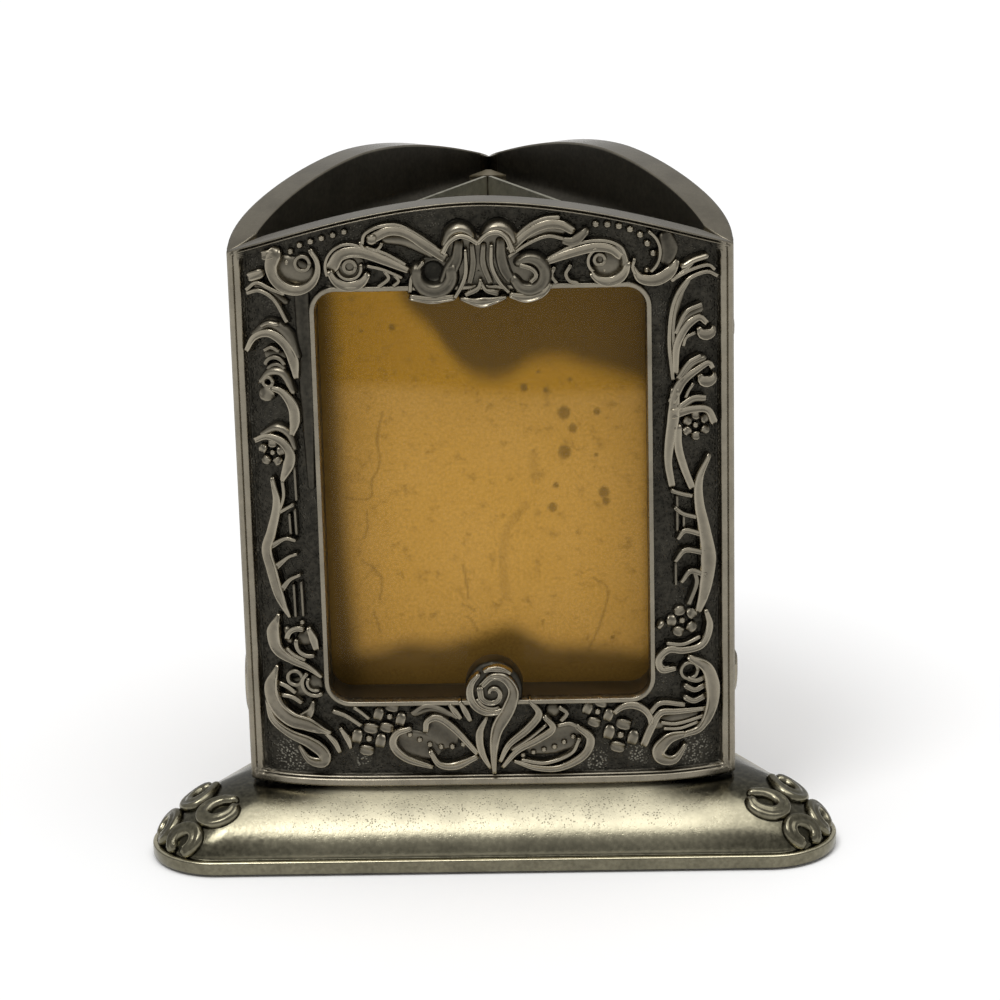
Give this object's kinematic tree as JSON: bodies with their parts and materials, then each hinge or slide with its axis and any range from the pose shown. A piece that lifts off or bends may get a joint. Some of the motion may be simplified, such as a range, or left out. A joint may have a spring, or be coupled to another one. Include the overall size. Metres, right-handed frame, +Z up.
{
  "type": "triangular photo frame",
  "caption": "Revolving triangular photo frame: bowed relief panels with arched tops round an open well, glazed pictures that lift out, on a low scrolled base.",
  "frame": {"origin": "on the turning axis, at the felt underside that the frame stands on", "axes": "+Z up along the turning axis; -Y out of the front panel; +X to the right seen from the front"},
  "size_m": [0.106, 0.0946, 0.1025],
  "materials": {
    "base_metal": "cast white metal with worn, pitted antique silver plate, yellowed",
    "panel_metal": "cast white metal, antique silver: polished relief over a blackened stippled ground",
    "sheet_metal": "thin rolled sheet, dull",
    "steel": "bright, machined",
    "brass": "dull, machined",
    "glass": "clear picture glass",
    "card": "aged amber card with stains and specks",
    "felt": "dark green felt on board"
  },
  "bodies": {
    "base": {"base_casting": "base_metal", "base_pad": "felt", "pivot_bolt": "steel", "thrust_washer": "brass", "spring_washer": "steel", "pivot_nut": "brass"},
    "frame": {"body_floor": "sheet_metal", "panel_front": "panel_metal", "panel_right": "panel_metal", "panel_left": "panel_metal", "corner_post_back": "panel_metal", "corner_post_left": "panel_metal", "corner_post_right": "panel_metal", "floor_screw_back": "steel", "floor_screw_left": "steel", "floor_screw_right": "steel"},
    "pack_front": {"pane_front": "glass", "card_front": "card", "backing_plate_front": "sheet_metal"},
    "pack_right": {"pane_right": "glass", "card_right": "card", "backing_plate_right": "sheet_metal"},
    "pack_left": {"pane_left": "glass", "card_left": "card", "backing_plate_left": "sheet_metal"}
  },
  "joints": [
    {"name": "body_spin", "type": "hinge", "parent": "base", "child": "frame", "pos_m": [0, 0, 0.0103], "axis": [0, 0, 1], "continuous": true},
    {"name": "pack_front_lift", "type": "slide", "parent": "frame", "child": "pack_front", "axis": [0, 0, 1], "range_m": [0, 0.07]},
    {"name": "pack_right_lift", "type": "slide", "parent": "frame", "child": "pack_right", "axis": [0, 0, 1], "range_m": [0, 0.07]},
    {"name": "pack_left_lift", "type": "slide", "parent": "frame", "child": "pack_left", "axis": [0, 0, 1], "range_m": [0, 0.07]}
  ]
}
